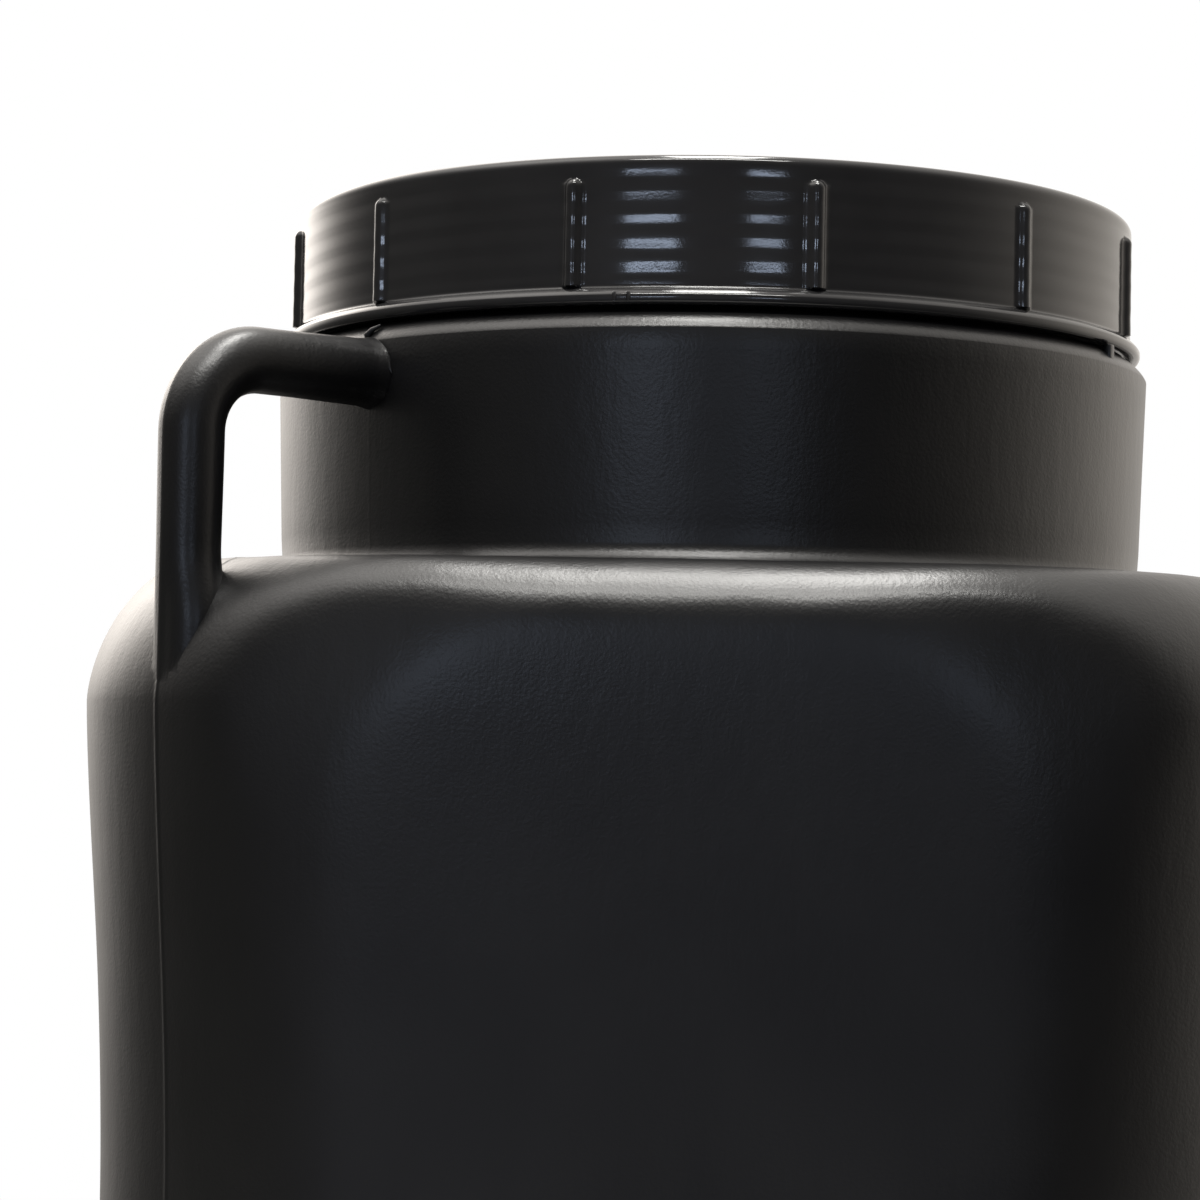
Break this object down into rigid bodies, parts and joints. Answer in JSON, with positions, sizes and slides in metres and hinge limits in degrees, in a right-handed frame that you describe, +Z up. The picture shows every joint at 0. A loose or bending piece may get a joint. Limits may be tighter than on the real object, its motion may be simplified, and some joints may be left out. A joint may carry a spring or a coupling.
{
  "type": "wide-neck plastic drum",
  "caption": "Square blow-moulded plastic drum with a sunk panel at the front and back, a round collar, a tube handle at one corner, and a ribbed screw lid over a wide threaded neck.",
  "frame": {"origin": "on the ground under the middle of the body", "axes": "+Z up along the neck's axis, the front panel faces -Y, the handle is at the -X -Y corner"},
  "size_m": [0.284, 0.284, 0.388],
  "materials": {
    "body_plastic": "black satin, finely grained blow-moulded polyethylene",
    "lid_plastic": "black semi-gloss injection-moulded plastic",
    "seal_rubber": "dark matt rubber"
  },
  "bodies": {
    "drum": {"drum_body": "body_plastic"},
    "seal": {"seal_ring": "seal_rubber"},
    "lid": {"screw_lid": "lid_plastic"}
  },
  "joints": [
    {"name": "lid_lift", "type": "slide", "parent": "drum", "child": "seal", "axis": [0, 0, 1], "range_m": [0, 0.0312]},
    {"name": "lid_turn", "type": "hinge", "parent": "seal", "child": "lid", "pos_m": [0, 0, 0.37], "axis": [0, 0, 1], "range_deg": [0, 2160]}
  ],
  "couplings": [
    {"joint": "lid_lift", "follows": "lid_turn", "m_per_rad": 0.0008276}
  ]
}
